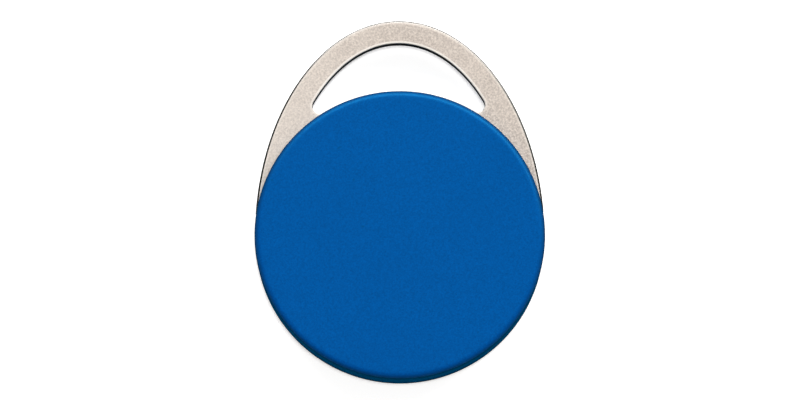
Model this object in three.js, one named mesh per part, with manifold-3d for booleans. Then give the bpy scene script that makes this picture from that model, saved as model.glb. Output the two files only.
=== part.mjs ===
// A contactless transit token: a round plastic disc of two half shells, welded round a stainless steel plate
// whose free end is the key-ring loop, with a wound-coil radio inlay sealed inside.
// Millimetres. The token lies on its back. The origin is the centre of the back face, +Z points out of the
// front face, and +Y points at the crown of the loop.
import * as THREE from "three";
import { mergeVertices } from "three/addons/utils/BufferGeometryUtils.js";
import Module from "manifold-3d";

const wasm = await Module();
wasm.setup();

// ---- Driving dimensions ----

const overallLength = 37.6;
const discRadius = 15;
const discThickness = 5.2;
const frontEdgeWidth = 0.7;
const frontEdgeHeight = 0.5;
const backEdgeRadius = 0.35;
const seamChamfer = 0.12;

// The steel plate. Its outline and its window are arches of ellipses centred on the disc.
const plateThickness = 1.5;
const plateEdgeBreak = 0.2;
const windowHalfWidth = 12.35;
const windowReach = 20.23;
const windowSillHeight = 12.84;
const windowCornerRadius = 0.85;
const shoulderHeight = 2.5;
const plateRingOuterRadius = 13.75;
const plateRingInnerRadius = 11.4;
const tailSweep = THREE.MathUtils.degToRad(35);

// The shells. Each is a face wall and a thick land round one cavity.
const wallThickness = 1;
const cavityRadius = 10.4;
const fitGap = 0.03;
const pinRadius = 0.85;
const pinHoleRadius = 0.9;
const pinTipHeight = 1.25;
const pinRootHeight = 3.6;
const platePin = { radius: 13, angles: [30, 150] };
const weldPin = { radius: 12.6, angles: [240, 300] };

// The inlay, from the back shell up.
const adhesiveRadius = 8;
const adhesiveThickness = 0.15;
const boardRadius = 9.9;
const boardThickness = 0.6;
const copperThickness = 0.05;
const coilInnerRadius = 7.6;
const coilOuterRadius = 9.5;
const coilHeight = 1.3;
const coilCornerRadius = 0.25;
const leadRoom = 0.25;
const foamRadius = 9.8;
const leadRadius = 0.08;
const bondWireRadius = 0.025;
const chipSize = 1;
const chipThickness = 0.25;
const chipY = -2;
const encapsulantRadius = 2.4;
const encapsulantHeight = 0.9;
const coilPadX = 5.2;
const coilPadRadius = 1;
const coilSolderRadius = 0.7;
const coilSolderHeight = 0.45;
const trackX = 2.9;
const trackWidth = 0.4;
const bondPadX = 1;
const capacitorY = 2.2;
const capacitorBodyLength = 1;
const capacitorBodyWidth = 0.8;
const terminalLength = 0.3;
const terminalWidth = 0.84;
const landInnerX = 0.45;
const landWidth = 0.9;
const capacitorSolderLength = 0.45;
const capacitorSolderHeight = 0.6;
const capacitorSolderWidth = 0.8;

// ---- Heights and places that follow from them ----

const loopReach = overallLength - discRadius;
const seamHeight = discThickness / 2;
const plateBottom = seamHeight - plateThickness / 2;
const plateTop = seamHeight + plateThickness / 2;
const adhesiveTop = wallThickness + adhesiveThickness;
const boardTop = adhesiveTop + boardThickness;
const copperTop = boardTop + copperThickness;
const coilTop = boardTop + coilHeight;
const chipTop = boardTop + chipThickness;
const foamBottom = coilTop + leadRoom;
const foamTop = discThickness - wallThickness;

// How far a straight step along an arc may stray from it, and the steps along a wire.
const chordError = 0.01;
const wireSteps = 20;

// ---- Shape helpers ----

// Straight steps that follow an arc of this radius and sweep.
function stepsFor(radius, sweep) {
  return Math.ceil(Math.abs(sweep) / (2 * Math.acos(1 - chordError / radius)));
}

// Steps for a full turn, with one at each quarter.
function turnSteps(radius) {
  return 4 * Math.max(2, stepsFor(radius, Math.PI / 2));
}

// Points along an arc of an ellipse, both ends included.
function arc(centreX, centreY, radiusX, radiusY, from, to) {
  const steps = stepsFor(Math.max(radiusX, radiusY), to - from);
  return Array.from({ length: steps + 1 }, (_, i) => {
    const angle = from + ((to - from) * i) / steps;
    return new THREE.Vector2(centreX + radiusX * Math.cos(angle), centreY + radiusY * Math.sin(angle));
  });
}

function roundArc(centreX, centreY, radius, from, to) {
  return arc(centreX, centreY, radius, radius, from, to);
}

function circle(centreX, centreY, radius) {
  const steps = turnSteps(radius);
  return Array.from({ length: steps }, (_, i) => {
    const angle = (2 * Math.PI * i) / steps;
    return new THREE.Vector2(centreX + radius * Math.cos(angle), centreY + radius * Math.sin(angle));
  });
}

// A flat shape raised from one height to another.
function slab(shape, bottom, top) {
  const geometry = new THREE.ExtrudeGeometry(shape, { depth: top - bottom, bevelEnabled: false });
  return geometry.translate(0, 0, bottom);
}

// A profile of (radius, height) points turned about Z.
function turned(profile) {
  const widest = Math.max(...profile.map((point) => point.x));
  return new THREE.LatheGeometry(profile, turnSteps(widest)).rotateX(Math.PI / 2);
}

function roundBar(centreX, centreY, radius, bottom, top) {
  return slab(new THREE.Shape(circle(centreX, centreY, radius)), bottom, top);
}

function box(lowX, highX, lowY, highY, lowZ, highZ) {
  const block = new THREE.BoxGeometry(highX - lowX, highY - lowY, highZ - lowZ);
  return block.translate((lowX + highX) / 2, (lowY + highY) / 2, (lowZ + highZ) / 2);
}

// A round wire along a curve.
function wire(curve, radius) {
  const section = new THREE.Shape(circle(0, 0, radius));
  return new THREE.ExtrudeGeometry(section, { steps: wireSteps, bevelEnabled: false, extrudePath: curve });
}

// A low dome standing on a height.
function dome(centreX, centreY, radius, height, bottom) {
  const side = arc(0, 0, radius, height, 0, Math.PI / 2).slice(0, -1);
  const profile = [new THREE.Vector2(0, 0), ...side, new THREE.Vector2(0, height)];
  return turned(profile).translate(centreX, centreY, bottom);
}

function placesOf(ring) {
  return ring.angles.map((degrees) => {
    const angle = THREE.MathUtils.degToRad(degrees);
    return [ring.radius * Math.cos(angle), ring.radius * Math.sin(angle)];
  });
}

// ---- Joining and cutting ----

function solidOf(geometry) {
  const bare = geometry.clone();
  bare.deleteAttribute("normal");
  bare.deleteAttribute("uv");
  const merged = mergeVertices(bare);
  const mesh = new wasm.Mesh({
    numProp: 3,
    vertProperties: merged.getAttribute("position").array,
    triVerts: new Uint32Array(merged.index.array),
  });
  return new wasm.Manifold(mesh);
}

function geometryOf(solid) {
  const mesh = solid.getMesh();
  const geometry = new THREE.BufferGeometry();
  geometry.setAttribute("position", new THREE.BufferAttribute(mesh.vertProperties, 3));
  geometry.setIndex(new THREE.BufferAttribute(mesh.triVerts, 1));
  geometry.computeVertexNormals();
  return geometry;
}

function joined(base, others) {
  return geometryOf(others.reduce((whole, other) => whole.add(solidOf(other)), solidOf(base)));
}

function cutBy(base, tools) {
  return geometryOf(tools.reduce((rest, tool) => rest.subtract(solidOf(tool)), solidOf(base)));
}

// ---- Steel loop ----

// Where the window's corner arc meets its arch. A corner arc that touches the arch at the ellipse's
// parameter has its centre one radius in along the normal there; halving the range finds the parameter at
// which that centre is one radius above the sill.
function windowCorner(halfWidth, reach, sill, radius) {
  const cornerAt = (parameter) => {
    const across = Math.cos(parameter);
    const along = Math.sin(parameter);
    const normal = new THREE.Vector2(across / halfWidth, along / reach).normalize();
    const centre = new THREE.Vector2(halfWidth * across, reach * along).addScaledVector(normal, -radius);
    return { parameter, centre, facing: normal.angle() };
  };
  const halvings = 40;
  let low = 0;
  let high = Math.PI / 2;
  for (let i = 0; i < halvings; i += 1) {
    const middle = (low + high) / 2;
    if (cornerAt(middle).centre.y < sill + radius) low = middle;
    else high = middle;
  }
  return cornerAt(low);
}

// The D-shaped window, a straight sill under an elliptical arch. Growing the plate closes the window in.
function windowOutline(growth) {
  const halfWidth = windowHalfWidth - growth;
  const reach = windowReach - growth;
  const radius = windowCornerRadius - growth;
  const { parameter, centre, facing } = windowCorner(halfWidth, reach, windowSillHeight + growth, radius);
  return [
    ...roundArc(centre.x, centre.y, radius, -Math.PI / 2, facing),
    ...arc(0, 0, halfWidth, reach, parameter, Math.PI - parameter).slice(1, -1),
    ...roundArc(-centre.x, centre.y, radius, Math.PI - facing, 1.5 * Math.PI),
  ];
}

// The whole plate: the arch, a shoulder on each side where it enters the shells, and inside them an open ring
// round the coil. The ring stays open so that it can't short the antenna's field. growth widens it all.
function plateShape(growth) {
  const outer = plateRingOuterRadius + growth;
  const inner = plateRingInnerRadius - growth;
  const reach = loopReach + growth;
  const shoulder = shoulderHeight - growth;
  const archStart = Math.asin(shoulder / reach);
  const ringStart = Math.asin(shoulder / outer);
  const tailRadius = (outer - inner) / 2;
  const tailCentre = new THREE.Vector2((outer + inner) / 2, 0).rotateAround(new THREE.Vector2(), -tailSweep);
  const leftTail = Math.PI + tailSweep;
  const rightTail = Math.PI - tailSweep;
  const roundEnd = (centreX, from) => roundArc(centreX, tailCentre.y, tailRadius, from, from + Math.PI);
  const outline = [
    ...arc(0, 0, discRadius + growth, reach, archStart, Math.PI - archStart),
    ...roundArc(0, 0, outer, Math.PI - ringStart, leftTail),
    ...roundEnd(-tailCentre.x, leftTail).slice(1, -1),
    ...roundArc(0, 0, inner, leftTail, -tailSweep),
    ...roundEnd(tailCentre.x, rightTail).slice(1, -1),
    ...roundArc(0, 0, outer, -tailSweep, ringStart),
  ];
  const shape = new THREE.Shape(outline);
  shape.holes.push(new THREE.Path(windowOutline(growth)));
  for (const [x, y] of placesOf(platePin)) {
    shape.holes.push(new THREE.Path(circle(x, y, pinHoleRadius - growth)));
  }
  return shape;
}

// The plate's edges are tumbled, which breaks them all round.
function steelLoop() {
  const geometry = new THREE.ExtrudeGeometry(plateShape(0), {
    depth: plateThickness - 2 * plateEdgeBreak,
    bevelThickness: plateEdgeBreak,
    bevelSize: plateEdgeBreak,
    bevelOffset: -plateEdgeBreak,
    bevelSegments: 1,
  });
  return geometry.translate(0, 0, plateBottom + plateEdgeBreak);
}

// ---- Shells ----

// Half of the disc with its outer face at height 0 and its mating face at the seam.
function halfShell(edgeWidth, edgeHeight) {
  const profile = [
    new THREE.Vector2(0, 0),
    ...arc(discRadius - edgeWidth, edgeHeight, edgeWidth, edgeHeight, -Math.PI / 2, 0),
    new THREE.Vector2(discRadius, seamHeight - seamChamfer),
    new THREE.Vector2(discRadius - seamChamfer, seamHeight),
    new THREE.Vector2(cavityRadius, seamHeight),
    new THREE.Vector2(cavityRadius, wallThickness),
    new THREE.Vector2(0, wallThickness),
  ];
  return turned(profile);
}

function platePocket() {
  return slab(plateShape(fitGap), plateBottom - fitGap, plateTop + fitGap);
}

function pins(growth) {
  return [...placesOf(platePin), ...placesOf(weldPin)].map(([x, y]) =>
    roundBar(x, y, pinRadius + growth, pinTipHeight - growth, pinRootHeight));
}

function frontShell() {
  const half = halfShell(frontEdgeWidth, frontEdgeHeight).rotateX(Math.PI).translate(0, 0, discThickness);
  return joined(cutBy(half, [platePocket()]), pins(0));
}

function backShell() {
  return cutBy(halfShell(backEdgeRadius, backEdgeRadius), [platePocket(), ...pins(fitGap)]);
}

// ---- Inlay ----

function adhesivePad() {
  return roundBar(0, 0, adhesiveRadius, wallThickness, adhesiveTop);
}

function circuitBoard() {
  return roundBar(0, 0, boardRadius, adhesiveTop, boardTop);
}

function foamPad() {
  return roundBar(0, 0, foamRadius, foamBottom, foamTop);
}

// The winding as one bundle: a ring of rounded rectangular section.
function antennaCoil() {
  const low = coilInnerRadius + coilCornerRadius;
  const high = coilOuterRadius - coilCornerRadius;
  const bottom = coilCornerRadius;
  const top = coilHeight - coilCornerRadius;
  const corners = [[high, bottom, -1], [high, top, 0], [low, top, 1], [low, bottom, 2]];
  const profile = corners.flatMap(([radius, height, quarter]) => {
    const from = (quarter * Math.PI) / 2;
    return roundArc(radius, height, coilCornerRadius, from, from + Math.PI / 2);
  });
  profile.push(profile[0].clone());
  return turned(profile).translate(0, 0, boardTop);
}

// One copper track, on the side given by its sign: coil pad, capacitor land and bond pad in one piece.
function copperTrack(side, growth) {
  const half = trackWidth / 2 + growth;
  const halfLand = landWidth / 2 + growth;
  const top = copperTop + growth;
  const strip = (nearX, farX, lowY, highY) => {
    const ends = [side * nearX, side * farX].sort((a, b) => a - b);
    return box(ends[0], ends[1], lowY, highY, boardTop, top);
  };
  const pad = roundBar(side * coilPadX, 0, coilPadRadius + growth, boardTop, top);
  return joined(pad, [
    strip(trackX, coilPadX, -half, half),
    strip(trackX - half, trackX + half, chipY - half, capacitorY + halfLand),
    strip(landInnerX - growth, trackX, capacitorY - halfLand, capacitorY + halfLand),
    strip(bondPadX - growth, trackX, chipY - half, chipY + half),
  ]);
}

// The winding's inner end comes straight in to its pad. The outer end crosses over the top of the winding.
function leadRoute(side) {
  const endHeight = copperTop + 1.5 * leadRadius;
  const crossHeight = coilTop + 1.5 * leadRadius;
  const inner = [
    [coilInnerRadius - fitGap, 1, boardTop + 0.5],
    [coilInnerRadius - 0.7, 0.9, boardTop + 0.45],
    [coilPadX + 0.8, 0.3, boardTop + 0.3],
    [coilPadX, 0, endHeight],
  ];
  const outer = [
    [coilOuterRadius - 0.4, -0.9, crossHeight],
    [coilInnerRadius + 0.2, -0.8, crossHeight],
    [coilInnerRadius - 0.7, -0.6, coilTop - 0.4],
    [coilPadX + 0.9, -0.2, boardTop + 0.4],
    [coilPadX, 0, endHeight],
  ];
  const points = side < 0 ? inner : outer;
  return new THREE.CatmullRomCurve3(points.map(([x, y, z]) => new THREE.Vector3(side * x, y, z)));
}

function coilLead(side) {
  return wire(leadRoute(side), leadRadius);
}

function coilSolder(side) {
  const drop = dome(side * coilPadX, 0, coilSolderRadius, coilSolderHeight, copperTop);
  return cutBy(drop, [wire(leadRoute(side), leadRadius + fitGap)]);
}

function radioChip(growth) {
  const half = chipSize / 2 + growth;
  return box(-half, half, chipY - half, chipY + half, boardTop, chipTop + growth);
}

// Each bond wire rises off the chip and comes down on its track.
function bondRoute(side) {
  const lift = bondWireRadius;
  return new THREE.QuadraticBezierCurve3(
    new THREE.Vector3(side * 0.35 * chipSize, chipY, chipTop + lift),
    new THREE.Vector3(side * 0.85 * chipSize, chipY, chipTop + encapsulantHeight / 2),
    new THREE.Vector3(side * (bondPadX + 0.35), chipY, copperTop + lift),
  );
}

function bondWire(side, growth) {
  return wire(bondRoute(side), bondWireRadius + growth);
}

function chipEncapsulant() {
  const drop = dome(0, chipY, encapsulantRadius, encapsulantHeight, boardTop);
  const gap = fitGap / 2;
  return cutBy(drop, [
    radioChip(gap),
    ...[-1, 1].flatMap((side) => [bondWire(side, gap), copperTrack(side, gap)]),
  ]);
}

function capacitorBody() {
  const halfLength = capacitorBodyLength / 2;
  const halfWidth = capacitorBodyWidth / 2;
  const bottom = copperTop + (terminalWidth - capacitorBodyWidth) / 2;
  const top = bottom + capacitorBodyWidth;
  return box(-halfLength, halfLength, capacitorY - halfWidth, capacitorY + halfWidth, bottom, top);
}

function capacitorTerminal(side) {
  const middle = side * (capacitorBodyLength + terminalLength) / 2;
  const halfLength = terminalLength / 2;
  const halfWidth = terminalWidth / 2;
  return box(
    middle - halfLength, middle + halfLength,
    capacitorY - halfWidth, capacitorY + halfWidth,
    copperTop, copperTop + terminalWidth,
  );
}

// A hollow-faced fillet of solder up the end of the terminal.
function capacitorSolder(side) {
  const foot = capacitorSolderLength;
  const height = capacitorSolderHeight;
  const face = arc(foot, height, foot, height, 1.5 * Math.PI, Math.PI);
  const section = new THREE.Shape([new THREE.Vector2(0, 0), ...face]);
  const fillet = slab(section, -capacitorSolderWidth / 2, capacitorSolderWidth / 2).rotateX(Math.PI / 2);
  if (side < 0) fillet.rotateZ(Math.PI);
  const terminalEnd = capacitorBodyLength / 2 + terminalLength;
  return fillet.translate(side * terminalEnd, capacitorY, copperTop);
}

// ---- Materials ----

const finish = {
  shell: new THREE.MeshStandardMaterial({ color: 0x00569f, roughness: 0.55, metalness: 0 }),
  steel: new THREE.MeshStandardMaterial({ color: 0xd5cbc0, roughness: 0.42, metalness: 1 }),
  board: new THREE.MeshStandardMaterial({ color: 0x2e5b34, roughness: 0.5, metalness: 0 }),
  copper: new THREE.MeshStandardMaterial({ color: 0xc98352, roughness: 0.35, metalness: 1 }),
  enamelledCopper: new THREE.MeshStandardMaterial({ color: 0xa5522a, roughness: 0.3, metalness: 0.8 }),
  gold: new THREE.MeshStandardMaterial({ color: 0xe0b860, roughness: 0.25, metalness: 1 }),
  solder: new THREE.MeshStandardMaterial({ color: 0xb9babb, roughness: 0.3, metalness: 1 }),
  silicon: new THREE.MeshStandardMaterial({ color: 0x3b3e45, roughness: 0.25, metalness: 0.2 }),
  epoxy: new THREE.MeshStandardMaterial({ color: 0x17181a, roughness: 0.35, metalness: 0 }),
  ceramic: new THREE.MeshStandardMaterial({ color: 0xa98e6c, roughness: 0.6, metalness: 0 }),
  foam: new THREE.MeshStandardMaterial({ color: 0x3a3a3c, roughness: 0.95, metalness: 0 }),
  adhesive: new THREE.MeshStandardMaterial({ color: 0xe4dfce, roughness: 0.8, metalness: 0 }),
};

// ---- The token ----

function piece(name, geometry, material) {
  const mesh = new THREE.Mesh(geometry, material);
  mesh.name = name;
  return mesh;
}

const housing = new THREE.Group();
housing.add(
  piece("back_shell", backShell(), finish.shell),
  piece("steel_loop", steelLoop(), finish.steel),
  piece("front_shell", frontShell(), finish.shell),
);

const inlay = new THREE.Group();
inlay.add(
  piece("adhesive_pad", adhesivePad(), finish.adhesive),
  piece("circuit_board", circuitBoard(), finish.board),
  piece("antenna_coil", antennaCoil(), finish.enamelledCopper),
  piece("radio_chip", radioChip(0), finish.silicon),
  piece("chip_encapsulant", chipEncapsulant(), finish.epoxy),
  piece("capacitor_body", capacitorBody(), finish.ceramic),
  piece("foam_pad", foamPad(), finish.foam),
);

for (const [end, side] of [["start", -1], ["end", 1]]) {
  inlay.add(
    piece(`copper_track_${end}`, copperTrack(side, 0), finish.copper),
    piece(`coil_lead_${end}`, coilLead(side), finish.enamelledCopper),
    piece(`coil_solder_${end}`, coilSolder(side), finish.solder),
    piece(`bond_wire_${end}`, bondWire(side, 0), finish.gold),
    piece(`capacitor_terminal_${end}`, capacitorTerminal(side), finish.solder),
    piece(`capacitor_solder_${end}`, capacitorSolder(side), finish.solder),
  );
}

const token = new THREE.Group();
token.add(housing, inlay);

export default token;
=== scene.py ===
"""Looks of a contactless transit token: a blue two-shell disc clamped on a steel key-ring loop.

Lengths are metres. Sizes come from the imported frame, or are named below in millimetres times MM.
The token lies on its back, +Z out of its front face and +Y towards the loop's crown.
"""
import math

import bmesh
import bpy
from mathutils import Matrix, Vector


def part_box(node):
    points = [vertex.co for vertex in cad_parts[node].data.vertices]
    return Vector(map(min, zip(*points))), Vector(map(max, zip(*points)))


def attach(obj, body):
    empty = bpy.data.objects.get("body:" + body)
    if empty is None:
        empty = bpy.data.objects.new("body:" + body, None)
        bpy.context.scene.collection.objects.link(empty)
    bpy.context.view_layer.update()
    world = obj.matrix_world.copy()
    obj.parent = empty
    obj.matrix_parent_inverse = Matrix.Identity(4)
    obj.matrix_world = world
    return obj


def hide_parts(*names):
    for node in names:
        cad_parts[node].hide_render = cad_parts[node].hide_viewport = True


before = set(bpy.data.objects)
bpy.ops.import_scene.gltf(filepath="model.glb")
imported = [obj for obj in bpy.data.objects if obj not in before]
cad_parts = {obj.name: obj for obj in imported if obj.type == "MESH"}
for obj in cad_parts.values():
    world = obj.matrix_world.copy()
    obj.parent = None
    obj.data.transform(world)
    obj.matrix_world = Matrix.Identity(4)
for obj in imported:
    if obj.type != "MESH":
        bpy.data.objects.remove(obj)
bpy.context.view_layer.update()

MM = 0.001
QUARTER = math.pi / 2
ROOT = "root"

# ---- Sizes ----

front_low, front_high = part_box("front_shell")
back_low, back_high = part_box("back_shell")
plate_low, plate_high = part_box("steel_loop")
board_low, board_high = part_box("circuit_board")
copper_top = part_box("copper_track_start")[1].z
coil_low, coil_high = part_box("antenna_coil")
foam_low, foam_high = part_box("foam_pad")
cover_low, cover_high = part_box("chip_encapsulant")

DISC_RADIUS = back_high.x
THICKNESS = front_high.z
SEAM = back_high.z
FRONT_EDGE = (0.7 * MM, 0.5 * MM)
BACK_EDGE = (0.35 * MM, 0.35 * MM)
SEAM_CHAMFER = 0.12 * MM
CAVITY_RADIUS = 10.4 * MM
FIT_GAP = 0.03 * MM

# Both face walls are this thick: the adhesive pad lies on the inside of the back one.
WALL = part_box("adhesive_pad")[0].z

# The plate: arches of ellipses centred on the disc, a straight sill, and the open ring inside the shells.
LOOP_REACH = plate_high.y
PLATE_EDGE = 0.2 * MM
HOLE_EDGE = 0.08 * MM
RIM_BORDER = 0.22 * MM
WINDOW_HALF_WIDTH = 12.35 * MM
WINDOW_REACH = 20.23 * MM
WINDOW_SILL = 12.84 * MM
WINDOW_CORNER = 0.85 * MM
SHOULDER = 2.5 * MM
RING_OUTER = 13.75 * MM
RING_INNER = 11.4 * MM
TAIL_SWEEP = math.radians(35)
PIN_RADIUS = 0.85 * MM
PIN_HOLE_RADIUS = 0.9 * MM
PIN_TIP = front_low.z
PIN_ROOT = 3.6 * MM
PLATE_PINS = [(13 * MM, math.radians(30)), (13 * MM, math.radians(150))]
WELD_PINS = [(12.6 * MM, math.radians(240)), (12.6 * MM, math.radians(300))]

# The inlay.
COIL_OUTER = coil_high.x
COIL_INNER = 7.6 * MM
WIRE_PITCH = 0.16 * MM
LEAD_RADIUS = 0.08 * MM
COIL_PAD_X = 5.2 * MM
COIL_SOLDER_RADIUS = 0.7 * MM
COIL_SOLDER_HEIGHT = 0.45 * MM

# The stage. The floor lies this far under the token, so that the two don't share one plane.
FLOOR_GAP = 0.02 * MM
LAMP_COLOUR = (1, 0.985, 0.965)

# How many straight pieces each curve is made of.
DISC_STEPS = 256
ARCH_STEPS = 192
COIL_STEPS = 160
FOAM_STEPS = 128
SMALL_STEPS = 48
RING_END_STEPS = 24
CORNER_STEPS = 16
WIRE_STEPS = 16
RIM_STEPS = 12
DROP_STEPS = 8
EDGE_STEPS = 6
TURN_STEPS = 4
WIRE_ROUNDNESS = 4

# Corners sharper than this stay sharp when a piece is shaded smooth.
SHARP_ANGLE = math.radians(32)

# How often window_corner() halves its range, and how far inset() lets a sharp corner run out.
HALVINGS = 40
SMALLEST_MITRE = 0.5


# ---- Outlines ----

def arc(centre_x, centre_y, radius_x, radius_y, start, end, steps):
    """Points along an arc of an ellipse, both ends included."""
    angles = [start + (end - start) * step / steps for step in range(steps + 1)]
    return [(centre_x + radius_x * math.cos(a), centre_y + radius_y * math.sin(a)) for a in angles]


def circle(centre_x, centre_y, radius, steps):
    return arc(centre_x, centre_y, radius, radius, 0, 2 * math.pi, steps)[:-1]


def window_corner(half_width, reach, sill, radius):
    """The ellipse parameter where the corner arc meets the window's arch, its centre, and the way it faces.

    The corner's centre is one radius inside the arch and one radius above the sill, found by halving."""
    def corner_at(parameter):
        across, along = math.cos(parameter), math.sin(parameter)
        normal = Vector((across / half_width, along / reach)).normalized()
        return Vector((half_width * across, reach * along)) - radius * normal, normal

    low, high = 0.0, QUARTER
    for _ in range(HALVINGS):
        middle = (low + high) / 2
        if corner_at(middle)[0].y < sill + radius:
            low = middle
        else:
            high = middle
    centre, normal = corner_at(low)
    return low, centre, math.atan2(normal.y, normal.x)


def window_outline(growth):
    """The D-shaped window. Growing the plate closes it in."""
    half_width = WINDOW_HALF_WIDTH - growth
    reach = WINDOW_REACH - growth
    radius = WINDOW_CORNER - growth
    parameter, centre, facing = window_corner(half_width, reach, WINDOW_SILL + growth, radius)
    return (
        arc(centre.x, centre.y, radius, radius, -QUARTER, facing, CORNER_STEPS)
        + arc(0, 0, half_width, reach, parameter, math.pi - parameter, ARCH_STEPS)[1:-1]
        + arc(-centre.x, centre.y, radius, radius, math.pi - facing, 3 * QUARTER, CORNER_STEPS)
    )


def plate_outline(growth):
    """The plate's outer edge: the loop's arch, a shoulder each side, and the open ring round the coil."""
    outer = RING_OUTER + growth
    inner = RING_INNER - growth
    reach = LOOP_REACH + growth
    shoulder = SHOULDER - growth
    arch_start = math.asin(shoulder / reach)
    ring_start = math.asin(shoulder / outer)
    tail_radius = (outer - inner) / 2
    tail_x = (outer + inner) / 2 * math.cos(TAIL_SWEEP)
    tail_y = -(outer + inner) / 2 * math.sin(TAIL_SWEEP)
    left = math.pi + TAIL_SWEEP
    right = math.pi - TAIL_SWEEP
    return (
        arc(0, 0, DISC_RADIUS + growth, reach, arch_start, math.pi - arch_start, ARCH_STEPS)
        + arc(0, 0, outer, outer, math.pi - ring_start, left, RING_END_STEPS)
        + arc(-tail_x, tail_y, tail_radius, tail_radius, left, left + math.pi, CORNER_STEPS)[1:-1]
        + arc(0, 0, inner, inner, left, -TAIL_SWEEP, ARCH_STEPS)
        + arc(tail_x, tail_y, tail_radius, tail_radius, right, right + math.pi, CORNER_STEPS)[1:-1]
        + arc(0, 0, outer, outer, -TAIL_SWEEP, ring_start, RING_END_STEPS)
    )


def pin_places(pins):
    return [(radius * math.cos(angle), radius * math.sin(angle)) for radius, angle in pins]


def plate_outlines(growth):
    """The outer edge, then the holes, which run the other way round."""
    holes = [window_outline(growth)]
    holes += [circle(x, y, PIN_HOLE_RADIUS - growth, SMALL_STEPS) for x, y in pin_places(PLATE_PINS)]
    return [plate_outline(growth)] + [hole[::-1] for hole in holes]


def inset(outline, distance):
    """The outline moved to its left by a distance, with mitred corners."""
    moved = []
    for before, here, after in zip(outline[-1:] + outline[:-1], outline, outline[1:] + outline[:1]):
        arriving = (Vector(here) - Vector(before)).normalized()
        leaving = (Vector(after) - Vector(here)).normalized()
        left = Vector((-arriving.y - leaving.y, arriving.x + leaving.x)).normalized()
        mitre = max(left.dot(Vector((-arriving.y, arriving.x))), SMALLEST_MITRE)
        moved.append((here[0] + left.x * distance / mitre, here[1] + left.y * distance / mitre))
    return moved


# ---- Meshes ----

def raised(outlines, levels, hole_levels=None, rim_layer=None):
    """A flat piece from its outer edge and its holes.

    Each level is (inset, height), and the two end levels are capped. The holes can have levels of their own.
    Upright walls take the second material. rim_layer names a vertex value that fades from 1 at the walls to 0
    at the capped level's inset, and is negative round the outer edge."""
    mesh = bmesh.new()
    layer = mesh.verts.layers.float.new(rim_layer) if rim_layer else None
    ends = ([], [])
    for outline in outlines:
        outermost = outline is outlines[0]
        own_levels = levels if outermost or not hole_levels else hole_levels
        rings = []
        for distance, height in own_levels:
            ring = [mesh.verts.new((x, y, height)) for x, y in inset(outline, distance)]
            if layer:
                for vertex in ring:
                    vertex[layer] = (1 - distance / own_levels[0][0]) * (-1 if outermost else 1)
            rings.append(ring)
        for lower, upper, below, above in zip(rings, rings[1:], own_levels, own_levels[1:]):
            for here, after in zip(range(len(lower)), [*range(1, len(lower)), 0]):
                face = mesh.faces.new((lower[here], lower[after], upper[after], upper[here]))
                face.material_index = int(below[0] == above[0] == 0)
        for ring, edges in zip((rings[0], rings[-1]), ends):
            edges += [mesh.edges.get(pair) for pair in zip(ring, ring[1:] + ring[:1])]
    for edges in ends:
        bmesh.ops.triangle_fill(mesh, edges=edges, use_beauty=True)
    bmesh.ops.recalc_face_normals(mesh, faces=mesh.faces)
    return mesh


def rounded_levels(bottom, top, edge):
    """Levels for raised(): both edges rounded, and a flat border that keeps the faces' shading even."""
    angles = [QUARTER * step / EDGE_STEPS for step in range(EDGE_STEPS + 1)]
    lower = [(edge * (1 - math.sin(a)), bottom + edge * (1 - math.cos(a))) for a in angles]
    upper = [(distance, top + bottom - height) for distance, height in reversed(lower)]
    return [(edge + RIM_BORDER, bottom), *lower, *upper, (edge + RIM_BORDER, top)]


def turned(profile, steps, centre=(0, 0)):
    """A closed outline of (radius, height) points turned about the upright line through centre."""
    mesh = bmesh.new()
    columns = []
    for radius, height in profile:
        ring = circle(*centre, radius, steps) if radius > 0 else [centre]
        columns.append([mesh.verts.new((x, y, height)) for x, y in ring])
    for lower, upper in zip(columns, columns[1:] + columns[:1]):
        for here, after in zip(range(steps), [*range(1, steps), 0]):
            corners = [lower[here % len(lower)], lower[after % len(lower)],
                       upper[after % len(upper)], upper[here % len(upper)]]
            corners = list(dict.fromkeys(corners))
            if len(corners) > 2:
                mesh.faces.new(corners)
    bmesh.ops.recalc_face_normals(mesh, faces=mesh.faces)
    return mesh


def wire_mesh(points, radius, steps):
    """A round wire along a smooth curve through the points, with flat ends welded to it."""
    weld_distance = radius / 50
    curve = bpy.data.curves.new("wire", "CURVE")
    curve.dimensions = "3D"
    curve.resolution_u = steps
    curve.bevel_depth = radius
    curve.bevel_resolution = WIRE_ROUNDNESS
    curve.use_fill_caps = True
    spline = curve.splines.new("BEZIER")
    spline.bezier_points.add(len(points) - 1)
    for bezier, point in zip(spline.bezier_points, points):
        bezier.co = point
        bezier.handle_left_type = bezier.handle_right_type = "AUTO"
    holder = bpy.data.objects.new("wire", curve)
    bpy.context.scene.collection.objects.link(holder)
    mesh = bmesh.new()
    mesh.from_mesh(holder.to_mesh())
    bpy.data.objects.remove(holder)
    bmesh.ops.remove_doubles(mesh, verts=mesh.verts, dist=weld_distance)
    bmesh.ops.recalc_face_normals(mesh, faces=mesh.faces)
    return mesh


def object_from(name, mesh):
    data = bpy.data.meshes.new(name)
    mesh.to_mesh(data)
    mesh.free()
    made = bpy.data.objects.new(name, data)
    bpy.context.scene.collection.objects.link(made)
    return made


def combine(target, mesh, operation):
    """Joins a mesh to the target or cuts it away, for good."""
    tool = object_from("tool", mesh)
    step = target.modifiers.new("combine", "BOOLEAN")
    step.operation = operation
    step.solver = "EXACT"
    step.object = tool
    graph = bpy.context.evaluated_depsgraph_get()
    result = bpy.data.meshes.new_from_object(target.evaluated_get(graph))
    target.modifiers.clear()
    target.data = result
    bpy.data.objects.remove(tool)


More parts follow.
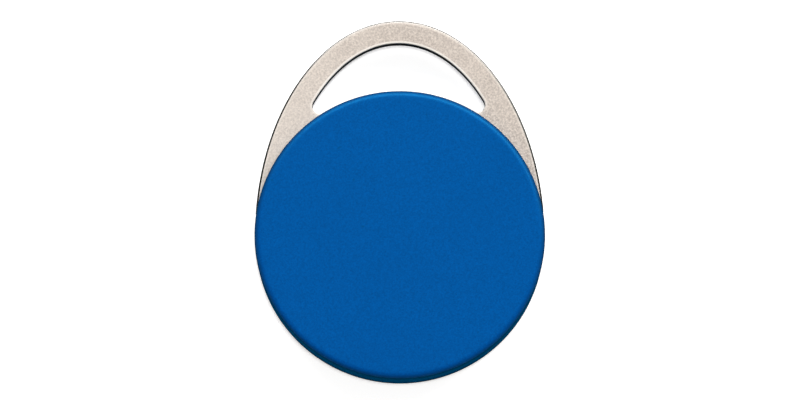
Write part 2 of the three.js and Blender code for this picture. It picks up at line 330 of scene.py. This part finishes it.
def place(piece, material, node):
    """Smooth shading, the material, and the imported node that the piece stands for."""
    piece.data.shade_smooth()
    piece.data.set_sharp_from_angle(angle=SHARP_ANGLE)
    even = piece.modifiers.new("even_shading", "WEIGHTED_NORMAL")
    even.keep_sharp = True
    piece.data.materials.append(material)
    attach(piece, ROOT)
    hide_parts(node)


# ---- Material building ----

class Surface:
    """One material built round its Principled shader. Constants go straight on the shader's sockets."""

    def __init__(self, name, **constants):
        self.material = bpy.data.materials.new(name)
        self.material.use_nodes = True
        self.tree = self.material.node_tree
        self.shader = self.tree.nodes["Principled BSDF"]
        for socket, value in constants.items():
            self.shader.inputs[socket.replace("_", " ")].default_value = value
        self.place = self.node("ShaderNodeTexCoord").outputs["Object"]

    def node(self, kind, inputs=None, **settings):
        made = self.tree.nodes.new(kind)
        for name, value in settings.items():
            setattr(made, name, value)
        for name, value in (inputs or {}).items():
            self.feed(made.inputs[name], value)
        return made

    def feed(self, socket, value):
        if isinstance(value, bpy.types.NodeSocket):
            self.tree.links.new(value, socket)
        else:
            socket.default_value = value

    def noise(self, size, detail=2.0, roughness=0.5, at=None):
        """Values round 0.5 that change over this size, in metres."""
        settings = {"Vector": at or self.place, "Scale": 1 / size, "Detail": detail, "Roughness": roughness}
        return self.node("ShaderNodeTexNoise", settings).outputs[0]

    def cells(self, size):
        """Distances to scattered points about this far apart, in cells."""
        settings = {"Vector": self.place, "Scale": 1 / size}
        return self.node("ShaderNodeTexVoronoi", settings).outputs["Distance"]

    def stretched(self, angle, ratio):
        """The place, squeezed along one direction in the face's plane so that grain runs that way."""
        settings = {"Vector": self.place, "Rotation": (0, 0, angle), "Scale": (ratio, 1, 1)}
        return self.node("ShaderNodeMapping", settings).outputs[0]

    def along(self, axis):
        """The place's X, Y or Z."""
        return self.node("ShaderNodeSeparateXYZ", {0: self.place}).outputs[axis]

    def drawn_upright(self):
        """The place, squeezed along Z so that grain runs up the walls."""
        return self.node("ShaderNodeMapping", {"Vector": self.place, "Scale": (1, 1, 0.1)}).outputs[0]

    def ranged(self, value, low, high, to_low=0.0, to_high=1.0):
        settings = {"Value": value, "From Min": low, "From Max": high, "To Min": to_low, "To Max": to_high}
        return self.node("ShaderNodeMapRange", settings).outputs[0]

    def computed(self, operation, first, second):
        return self.node("ShaderNodeMath", {0: first, 1: second}, operation=operation).outputs[0]

    def mixed(self, share, first, second):
        """Colour: first at share 0, second at share 1."""
        mix = self.node("ShaderNodeMix", data_type="RGBA")
        self.feed(mix.inputs[0], share)
        self.feed(mix.inputs[6], first)
        self.feed(mix.inputs[7], second)
        return mix.outputs[2]

    def value_of(self, name):
        """A value that the mesh's vertices carry."""
        return self.node("ShaderNodeAttribute", attribute_name=name).outputs["Fac"]

    def finish(self, colour, roughness, height=None, depth=0.0):
        """Colour, roughness, and a bump whose heights reach this depth in metres."""
        self.feed(self.shader.inputs["Base Color"], colour)
        self.feed(self.shader.inputs["Roughness"], roughness)
        if height is not None:
            bump = self.node("ShaderNodeBump", {"Height": height, "Distance": depth, "Strength": 1.0})
            self.feed(self.shader.inputs["Normal"], bump.outputs[0])
        return self.material


# ---- Materials ----

def shell_plastic():
    """Blue ABS: a fine spark-eroded grain, smoother and glossier towards the rim, where the blue is darkened
    as painted shade.
    """
    s = Surface("blue_abs", Specular_IOR_Level=1.0, Specular_Tint=(0.01, 0.5, 1, 1))
    broad = s.noise(7 * MM, detail=1)
    grain = s.noise(0.16 * MM, detail=3, roughness=0.6)
    specks = s.ranged(s.noise(0.55 * MM, detail=0), 0.86, 0.9)
    blue = s.mixed(s.ranged(broad, 0.3, 0.7), (0.0001, 0.06, 0.275, 1), (0.0002, 0.064, 0.29, 1))
    blue = s.mixed(s.ranged(grain, 0.3, 0.7), blue, (0.0, 0.036, 0.18, 1))
    blue = s.mixed(s.ranged(specks, 0, 1, 0, 0.5), blue, (0.0, 0.03, 0.12, 1))
    across = s.node("ShaderNodeVectorMath", {0: s.place, 1: (1, 1, 0)}, operation="MULTIPLY").outputs[0]
    radius = s.node("ShaderNodeVectorMath", {0: across}, operation="LENGTH").outputs["Value"]
    rim = s.ranged(radius, DISC_RADIUS - FRONT_EDGE[0], DISC_RADIUS)
    # Painted shade: the blue darkens towards the rim's outer edge.
    blue = s.mixed(s.ranged(rim, 0.35, 0.8, 0, 0.6), blue, (0.0, 0.03, 0.1, 1))
    polish = s.ranged(rim, 0, 0.3, 0, 0.1)
    roughness = s.computed("SUBTRACT", s.ranged(grain, 0.25, 0.75, 0.5, 0.6), polish)
    return s.finish(blue, roughness, grain, 0.006 * MM)


def shell_wall():
    """The shells' side wall: satin, with upright drag marks, its blue darker than the face's as painted
    shade, a painted contact shadow low down and a painted shade band at the top.
    """
    s = Surface("blue_abs_wall", Specular_IOR_Level=0.0)
    drag = s.noise(0.15 * MM, detail=3, at=s.drawn_upright())
    # The wall's blue is darker than the face's: painted shade.
    blue = s.mixed(s.ranged(drag, 0.3, 0.7), (0.0, 0.045, 0.115, 1), (0.0, 0.055, 0.14, 1))
    # Painted contact shadow low on the wall, and a painted shade band near its top.
    painted_contact_shadow = s.ranged(s.along("Z"), 0.4 * MM, 1.6 * MM, 0.9, 0)
    painted_shade_band = s.ranged(s.along("Z"), 3.8 * MM, 4.4 * MM, 0, 0.4)
    blue = s.mixed(painted_contact_shadow, blue, (0.008, 0.01, 0.008, 1))
    blue = s.mixed(painted_shade_band, blue, (0.0, 0.02, 0.05, 1))
    return s.finish(blue, s.ranged(drag, 0.3, 0.7, 0.55, 0.7), drag, 0.003 * MM)


def loop_steel():
    """Tumbled stainless plate: speckled matt faces with faint diagonal brushing.

    A painted highlight runs along the window's rim and just inside the outer edge. The outer edge is glossier
    and painted dark as shade, darker down the arms. The left side is painted a little lighter, as light."""
    s = Surface("stainless_steel", Metallic=1.0)
    speckle = s.noise(0.2 * MM, detail=3, roughness=0.7)
    brushing = s.noise(0.5 * MM, detail=3, roughness=0.6, at=s.stretched(math.radians(45), 0.12))
    broad = s.noise(5 * MM, detail=1)
    bright = (0.84, 0.775, 0.715, 1)
    steel = s.mixed(s.ranged(speckle, 0.35, 0.65), (0.51, 0.455, 0.415, 1), bright)
    steel = s.mixed(s.ranged(broad, 0.3, 0.7, 0, 0.25), steel, bright)
    # Painted light: the left side is lighter.
    painted_light_left = s.ranged(s.along("X"), -12 * MM, -2 * MM, 0.35, 0)
    steel = s.mixed(painted_light_left, steel, (0.95, 0.9, 0.85, 1))
    rim = s.value_of("rim")
    # Painted highlights: along the window's rim, stronger above the corners, and just inside the outer edge.
    painted_highlight = (1, 0.97, 0.92, 1)
    above_the_corners = s.ranged(s.along("Y"), 13.2 * MM, 15.2 * MM, 0.25, 0.9)
    window_rim_highlight = s.computed("MULTIPLY", s.ranged(rim, 0, 0.35), above_the_corners)
    steel = s.mixed(window_rim_highlight, steel, painted_highlight)
    steel = s.mixed(s.ranged(rim, -0.4, 0, 0.3, 0), steel, painted_highlight)
    # Painted shade: the outer edge is coloured dark, more so down the arms; it is also glossier.
    glossy_painted_dark_edge = s.ranged(rim, -0.6, -0.5, 1, 0)
    down_the_arms = s.ranged(s.along("Y"), 20 * MM, 14 * MM)
    painted_edge_shade = s.mixed(down_the_arms, (0.3, 0.285, 0.27, 1), (0.08, 0.08, 0.075, 1))
    steel = s.mixed(glossy_painted_dark_edge, steel, painted_edge_shade)
    grain = s.computed("ADD", s.computed("MULTIPLY", speckle, 0.6), s.computed("MULTIPLY", brushing, 0.4))
    gloss = s.computed("MULTIPLY", glossy_painted_dark_edge, 0.4)
    roughness = s.computed("SUBTRACT", s.ranged(grain, 0.3, 0.7, 0.64, 0.74), gloss)
    return s.finish(steel, roughness, grain, 0.012 * MM)


def sheared_steel():
    """The plate's blanked walls, with upright shear lines: bare metal in the window, dark partly as painted
    shade, and worn dull outside.
    """
    s = Surface("sheared_steel")
    lines = s.noise(0.1 * MM, detail=3, at=s.drawn_upright())
    # The walls' dark colour is partly the sheared steel's own dullness and partly painted shade; outside it
    # is lightened and made less metallic.
    colour = s.mixed(s.ranged(lines, 0.3, 0.7), (0.2, 0.2, 0.2, 1), (0.36, 0.35, 0.34, 1))
    worn = s.ranged(s.value_of("rim"), -1, 1, 1, 0)
    colour = s.mixed(s.computed("MULTIPLY", worn, 0.7), colour, (0.5, 0.485, 0.465, 1))
    s.feed(s.shader.inputs["Metallic"], s.ranged(worn, 0, 1, 1, 0.3))
    return s.finish(colour, s.ranged(lines, 0.3, 0.7, 0.3, 0.42), lines, 0.006 * MM)


def copper_wire():
    """Enamelled copper: clear varnish over bright metal, with patches where the varnish is thicker."""
    s = Surface("enamelled_copper", Metallic=0.85, Coat_Weight=0.6, Coat_Roughness=0.15)
    varnish = s.noise(0.4 * MM, detail=2)
    colour = s.mixed(s.ranged(varnish, 0.35, 0.65), (0.42, 0.1, 0.035, 1), (0.56, 0.17, 0.06, 1))
    return s.finish(colour, s.ranged(varnish, 0.3, 0.7, 0.25, 0.4), varnish, 0.002 * MM)


def bare_copper():
    """Rolled copper foil under a thin tarnish."""
    s = Surface("copper_foil", Metallic=1.0)
    rolling = s.noise(0.12 * MM, detail=3, at=s.stretched(0, 0.1))
    tarnish = s.noise(1.2 * MM, detail=2)
    colour = s.mixed(s.ranged(tarnish, 0.35, 0.7), (0.68, 0.32, 0.17, 1), (0.42, 0.17, 0.08, 1))
    return s.finish(colour, s.ranged(rolling, 0.3, 0.7, 0.28, 0.45), rolling, 0.002 * MM)


def gold_wire():
    s = Surface("gold_wire", Metallic=1.0)
    drawing = s.noise(0.02 * MM, detail=2, at=s.stretched(0, 0.1))
    colour = s.mixed(s.ranged(drawing, 0.3, 0.7), (0.72, 0.46, 0.13, 1), (0.85, 0.6, 0.22, 1))
    return s.finish(colour, s.ranged(drawing, 0.3, 0.7, 0.18, 0.3), drawing, 0.0005 * MM)


def solder_metal():
    """Tin solder: bright, with a dull frosted grain in patches."""
    s = Surface("solder", Metallic=1.0)
    frost = s.noise(0.2 * MM, detail=4, roughness=0.65)
    colour = s.mixed(s.ranged(frost, 0.35, 0.7), (0.6, 0.61, 0.62, 1), (0.4, 0.41, 0.43, 1))
    return s.finish(colour, s.ranged(frost, 0.35, 0.7, 0.15, 0.42), frost, 0.006 * MM)


def board_laminate():
    """Green lacquered glass laminate, its square weave just showing through."""
    s = Surface("circuit_laminate", Specular_IOR_Level=0.5)
    threads = {"Vector": s.place, "Scale": 1 / (2.2 * MM)}
    across = s.node("ShaderNodeTexWave", threads, bands_direction="X")
    along = s.node("ShaderNodeTexWave", threads, bands_direction="Y")
    weave = s.computed("MULTIPLY", across.outputs["Fac"], along.outputs["Fac"])
    colour = s.mixed(s.ranged(weave, 0, 1, 0, 0.6), (0.012, 0.07, 0.02, 1), (0.03, 0.13, 0.045, 1))
    colour = s.mixed(s.ranged(s.noise(3 * MM), 0.3, 0.7, 0, 0.3), colour, (0.01, 0.055, 0.02, 1))
    return s.finish(colour, s.ranged(weave, 0, 1, 0.3, 0.45), weave, 0.003 * MM)


def potting_epoxy():
    s = Surface("black_epoxy", Specular_IOR_Level=0.5)
    filler = s.noise(0.09 * MM, detail=3)
    colour = s.mixed(s.ranged(filler, 0.3, 0.7), (0.008, 0.008, 0.009, 1), (0.02, 0.02, 0.022, 1))
    return s.finish(colour, s.ranged(filler, 0.3, 0.7, 0.28, 0.42), filler, 0.004 * MM)


def chip_silicon():
    """A diced die: mirror-like top with a fine grid of circuit blocks."""
    s = Surface("silicon", Metallic=0.3)
    blocks = s.node("ShaderNodeTexBrick", {
        "Vector": s.place,
        "Scale": 1 / MM,
        "Color1": (0.05, 0.055, 0.075, 1),
        "Color2": (0.1, 0.09, 0.1, 1),
        "Mortar": (0.22, 0.2, 0.17, 1),
        "Mortar Size": 0.012,
        "Brick Width": 0.21,
        "Row Height": 0.14,
    })
    haze = s.noise(0.05 * MM, detail=2)
    return s.finish(blocks.outputs["Color"], s.ranged(haze, 0.3, 0.7, 0.12, 0.24), haze, 0.0005 * MM)


def capacitor_ceramic():
    s = Surface("capacitor_ceramic", Specular_IOR_Level=0.4)
    firing = s.noise(0.12 * MM, detail=4)
    colour = s.mixed(s.ranged(firing, 0.3, 0.7), (0.34, 0.22, 0.12, 1), (0.46, 0.32, 0.19, 1))
    return s.finish(colour, s.ranged(firing, 0.3, 0.7, 0.5, 0.68), firing, 0.004 * MM)


def cell_foam():
    """Black closed-cell foam."""
    s = Surface("foam", Sheen_Weight=0.2, Sheen_Roughness=0.5)
    cells = s.cells(0.22 * MM)
    colour = s.mixed(s.ranged(cells, 0.1, 0.7), (0.025, 0.025, 0.027, 1), (0.06, 0.06, 0.062, 1))
    return s.finish(colour, s.ranged(cells, 0, 1, 0.85, 0.98), cells, 0.05 * MM)


def adhesive_tissue():
    """Cream double-sided tape with its tissue fibres showing."""
    s = Surface("adhesive_tissue", Specular_IOR_Level=0.3)
    fibres = s.noise(0.3 * MM, detail=4, roughness=0.7, at=s.stretched(math.radians(20), 0.2))
    colour = s.mixed(s.ranged(fibres, 0.35, 0.65), (0.66, 0.62, 0.5, 1), (0.8, 0.77, 0.68, 1))
    return s.finish(colour, s.ranged(fibres, 0.3, 0.7, 0.6, 0.85), fibres, 0.01 * MM)


# ---- Shells ----

def half_profile(edge, outward, outer_face):
    """A half shell's section, from its inner face round the seam to its outer face.

    edge is how far the rounded rim reaches in along the face and down along the wall. outward is -1 for the
    back and 1 for the front. A narrow flat border inside the rim keeps the face's shading even."""
    width, height = edge
    curve = arc(DISC_RADIUS - width, 0, width, height, 0, QUARTER, RIM_STEPS)
    rounded = [(radius, outer_face - outward * (height - rise)) for radius, rise in curve]
    inner_face = outer_face - outward * WALL
    border = 0.5 * width
    return [
        (0, inner_face),
        (CAVITY_RADIUS, inner_face),
        (CAVITY_RADIUS, SEAM),
        (DISC_RADIUS - SEAM_CHAMFER, SEAM),
        (DISC_RADIUS, SEAM + outward * SEAM_CHAMFER),
        *rounded,
        (DISC_RADIUS - width - border, outer_face),
        (0, outer_face),
    ]


def plate_pocket():
    levels = [(0, plate_low.z - FIT_GAP), (0, plate_high.z + FIT_GAP)]
    return raised(plate_outlines(FIT_GAP), levels)


def pins(growth):
    levels = [(0, PIN_TIP - growth), (0, PIN_ROOT)]
    places = pin_places(PLATE_PINS + WELD_PINS)
    return raised([circle(x, y, PIN_RADIUS + growth, SMALL_STEPS) for x, y in places], levels)


def finish_shell(shell, material, wall_material, node):
    """Places the shell and gives its outermost faces, the wall and its seam, the wall's material."""
    place(shell, material, node)
    shell.data.materials.append(wall_material)
    for face in shell.data.polygons:
        face.material_index = int(face.center.xy.length > DISC_RADIUS - SEAM_CHAMFER)


def make_shells(material, wall_material):
    front = object_from("front_shell_moulding", turned(half_profile(FRONT_EDGE, 1, THICKNESS), DISC_STEPS))
    combine(front, plate_pocket(), "DIFFERENCE")
    combine(front, pins(0), "UNION")
    finish_shell(front, material, wall_material, "front_shell")
    back = object_from("back_shell_moulding", turned(half_profile(BACK_EDGE, -1, 0), DISC_STEPS))
    combine(back, plate_pocket(), "DIFFERENCE")
    combine(back, pins(FIT_GAP), "DIFFERENCE")
    finish_shell(back, material, wall_material, "back_shell")


# ---- Steel loop ----

def make_loop(material, wall_material):
    levels = rounded_levels(plate_low.z, plate_high.z, PLATE_EDGE)
    hole_levels = rounded_levels(plate_low.z, plate_high.z, HOLE_EDGE)
    loop = object_from("steel_loop_plate", raised(plate_outlines(0), levels, hole_levels, rim_layer="rim"))
    place(loop, material, "steel_loop")
    loop.data.materials.append(wall_material)


# ---- Inlay ----

def make_coil(material):
    """The winding, its surface scalloped by its outermost turns of wire."""
    across = round((COIL_OUTER - COIL_INNER) / WIRE_PITCH)
    up = round((coil_high.z - coil_low.z) / WIRE_PITCH)
    radius_step = (COIL_OUTER - COIL_INNER) / across
    height_step = (coil_high.z - coil_low.z) / up
    outer = COIL_OUTER - radius_step / 2
    inner = COIL_INNER + radius_step / 2
    bottom = coil_low.z + height_step / 2
    top = coil_high.z - height_step / 2
    reach = 0.8 * QUARTER
    turns = [(outer, bottom + i * height_step, 0) for i in range(up)]
    turns += [(outer - i * radius_step, top, 1) for i in range(across)]
    turns += [(inner, top - i * height_step, 2) for i in range(up)]
    turns += [(inner + i * radius_step, bottom, 3) for i in range(across)]
    profile = []
    for radius, height, side in turns:
        start = side * QUARTER - reach
        end = side * QUARTER + reach
        profile += arc(radius, height, radius_step / 2, height_step / 2, start, end, TURN_STEPS)
    coil = object_from("antenna_coil_winding", turned(profile, COIL_STEPS))
    place(coil, material, "antenna_coil")


def lead_routes():
    """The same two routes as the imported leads: straight in, and over the top of the winding."""
    end_height = copper_top + 1.5 * LEAD_RADIUS
    cross_height = coil_high.z + 1.5 * LEAD_RADIUS
    start = [
        (-COIL_INNER + FIT_GAP, 1 * MM, board_high.z + 0.5 * MM),
        (-COIL_INNER + 0.7 * MM, 0.9 * MM, board_high.z + 0.45 * MM),
        (-COIL_PAD_X - 0.8 * MM, 0.3 * MM, board_high.z + 0.3 * MM),
        (-COIL_PAD_X, 0, end_height),
    ]
    end = [
        (COIL_OUTER - 0.4 * MM, -0.9 * MM, cross_height),
        (COIL_INNER + 0.2 * MM, -0.8 * MM, cross_height),
        (COIL_INNER - 0.7 * MM, -0.6 * MM, coil_high.z - 0.4 * MM),
        (COIL_PAD_X + 0.9 * MM, -0.2 * MM, board_high.z + 0.4 * MM),
        (COIL_PAD_X, 0, end_height),
    ]
    return {"start": start, "end": end}


def make_leads(material):
    for name, points in lead_routes().items():
        lead = object_from(f"coil_lead_{name}_wire", wire_mesh(points, LEAD_RADIUS, WIRE_STEPS))
        place(lead, material, f"coil_lead_{name}")


def make_coil_solder(material):
    """A drop of solder over each lead's end: round on top, with a hollow skirt wetting the pad.

    The crown and the skirt are drawn in shares of the drop's radius and height."""
    crown = arc(0, 0, 0.55, 1.0, QUARTER, math.radians(25), DROP_STEPS)
    skirt = arc(1.0, 0.42, 0.5, 0.42, math.pi, 3 * QUARTER, DROP_STEPS)
    outline = [(COIL_SOLDER_RADIUS * r, copper_top + COIL_SOLDER_HEIGHT * z) for r, z in crown + skirt]
    profile = [(0, outline[0][1]), *outline[1:], (0, copper_top)]
    for name, side in (("start", -1), ("end", 1)):
        centre = (side * COIL_PAD_X, 0)
        drop = object_from(f"coil_solder_{name}_joint", turned(profile, SMALL_STEPS, centre))
        place(drop, material, f"coil_solder_{name}")


def make_encapsulant(material):
    """The drop of epoxy over the chip, with the flat rim where it wetted the board."""
    radius = (cover_high.x - cover_low.x) / 2
    centre = (0, (cover_low.y + cover_high.y) / 2)
    height = cover_high.z - cover_low.z
    side = arc(0, 0, radius, height, 0, QUARTER, RIM_STEPS)[:-1]
    profile = [(0, cover_low.z), *[(r, cover_low.z + z) for r, z in side], (0, cover_high.z)]
    cover = object_from("chip_encapsulant_dome", turned(profile, SMALL_STEPS, centre))
    place(cover, material, "chip_encapsulant")


def make_foam(material):
    """The foam disc, its cut edge bulging a little where it is squeezed."""
    radius = foam_high.x
    half = (foam_high.z - foam_low.z) / 2
    bulge = 0.35 * half
    edge = arc(radius - bulge, foam_low.z + half, bulge, half, -QUARTER, QUARTER, RIM_STEPS)
    profile = [(0, foam_low.z), *edge, (0, foam_high.z)]
    foam = object_from("foam_pad_disc", turned(profile, FOAM_STEPS))
    place(foam, material, "foam_pad")


def dress_nodes(surfaces):
    """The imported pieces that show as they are: each gets its material and its broken edges' width."""
    dressed = {
        "adhesive_pad": ("adhesive", 0.02 * MM),
        "circuit_board": ("board", 0.03 * MM),
        "radio_chip": ("silicon", 0.01 * MM),
        "capacitor_body": ("capacitor_ceramic", 0.03 * MM),
    }
    for end in ("start", "end"):
        dressed[f"copper_track_{end}"] = ("copper", 0.01 * MM)
        dressed[f"bond_wire_{end}"] = ("gold", 0)
        dressed[f"capacitor_terminal_{end}"] = ("solder", 0.05 * MM)
        dressed[f"capacitor_solder_{end}"] = ("solder", 0.02 * MM)
    for name, (surface, edge) in dressed.items():
        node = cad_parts[name]
        node.data.materials.clear()
        node.data.materials.append(surfaces[surface])
        if edge:
            bevel = node.modifiers.new("broken_edges", "BEVEL")
            bevel.width = edge
            bevel.segments = 2
            bevel.limit_method = "ANGLE"


# ---- Stage ----

def make_camera():
    """A long lens almost straight above the token, leaning towards its lower edge and a little turned."""
    distance = 500 * MM
    tilt = math.radians(7.7)
    turn = math.radians(-0.5)
    aim = Vector((0.02 * MM, 4.245 * MM, 0.0))
    data = bpy.data.cameras.new("camera")
    data.lens = 215.8
    data.sensor_width = 36
    data.clip_start = 0.01
    camera = bpy.data.objects.new("camera", data)
    lean = distance * Vector((0, -math.sin(tilt), math.cos(tilt)))
    camera.location = Matrix.Rotation(turn, 3, "Z") @ (aim + lean)
    camera.rotation_euler = (tilt, 0, turn)
    bpy.context.scene.collection.objects.link(camera)
    bpy.context.scene.camera = camera


def make_floor():
    """A plain white table that glows enough to show as pure white, and is kept out of reflections."""
    half_side = 2.0
    corners = [(half_side * x, half_side * y) for x, y in ((-1, -1), (1, -1), (1, 1), (-1, 1))]
    mesh = bmesh.new()
    mesh.faces.new([mesh.verts.new((x, y, -FLOOR_GAP)) for x, y in corners])
    floor = object_from("floor", mesh)
    glow = {"Emission_Color": (1, 1, 1, 1), "Emission_Strength": 0.43}
    table = Surface("white_table", Specular_IOR_Level=0.1, **glow)
    floor.data.materials.append(table.finish((0.9, 0.9, 0.9, 1), 0.9))
    floor.visible_glossy = False


def make_sky():
    """A soft dome: brightest above and beyond the loop, dim at the near horizon, dark underneath."""
    world = bpy.data.worlds.new("studio")
    bpy.context.scene.world = world
    world.use_nodes = True
    tree = world.node_tree
    direction = tree.nodes.new("ShaderNodeTexCoord").outputs["Generated"]
    brightest = Vector((0.15, 0.4, 1.0)).normalized()
    facing = tree.nodes.new("ShaderNodeVectorMath")
    facing.operation = "DOT_PRODUCT"
    facing.inputs[1].default_value = brightest
    strength = tree.nodes.new("ShaderNodeMapRange")
    strength.interpolation_type = "SMOOTHSTEP"
    for name, value in {"From Min": -0.1, "From Max": 0.9, "To Min": 0.01, "To Max": 0.25}.items():
        strength.inputs[name].default_value = value
    tree.links.new(direction, facing.inputs[0])
    tree.links.new(facing.outputs["Value"], strength.inputs["Value"])
    tree.links.new(strength.outputs[0], tree.nodes["Background"].inputs["Strength"])
    tree.nodes["Background"].inputs["Color"].default_value = (*LAMP_COLOUR, 1)


def make_soft_box(name, position, size, power, glare=True):
    """A soft box of this width and height, aimed at the token. Without glare no surface mirrors it."""
    data = bpy.data.lights.new(name, "AREA")
    data.shape = "RECTANGLE"
    data.size, data.size_y = size
    data.energy = power
    data.color = LAMP_COLOUR
    light = bpy.data.objects.new(name, data)
    light.location = position
    light.visible_glossy = glare
    light.rotation_euler = light.location.to_track_quat("Z", "Y").to_euler()
    bpy.context.scene.collection.objects.link(light)


# ---- The scene ----

make_camera()
make_floor()
make_sky()
make_soft_box("overhead", (0.02, -0.02, 1.0), (0.12, 0.12), 5.0, glare=False)
make_soft_box("beyond_the_loop", (0.15, 0.8, 0.8), (1.8, 0.45), 19.0)
bpy.context.scene.view_settings.view_transform = "Standard"

surfaces = {
    "shell": shell_plastic(),
    "steel": loop_steel(),
    "enamelled_copper": copper_wire(),
    "copper": bare_copper(),
    "gold": gold_wire(),
    "solder": solder_metal(),
    "board": board_laminate(),
    "epoxy": potting_epoxy(),
    "silicon": chip_silicon(),
    "capacitor_ceramic": capacitor_ceramic(),
    "foam": cell_foam(),
    "adhesive": adhesive_tissue(),
}
make_shells(surfaces["shell"], shell_wall())
make_loop(surfaces["steel"], sheared_steel())
make_coil(surfaces["enamelled_copper"])
make_leads(surfaces["enamelled_copper"])
make_coil_solder(surfaces["solder"])
make_encapsulant(surfaces["epoxy"])
make_foam(surfaces["foam"])
dress_nodes(surfaces)
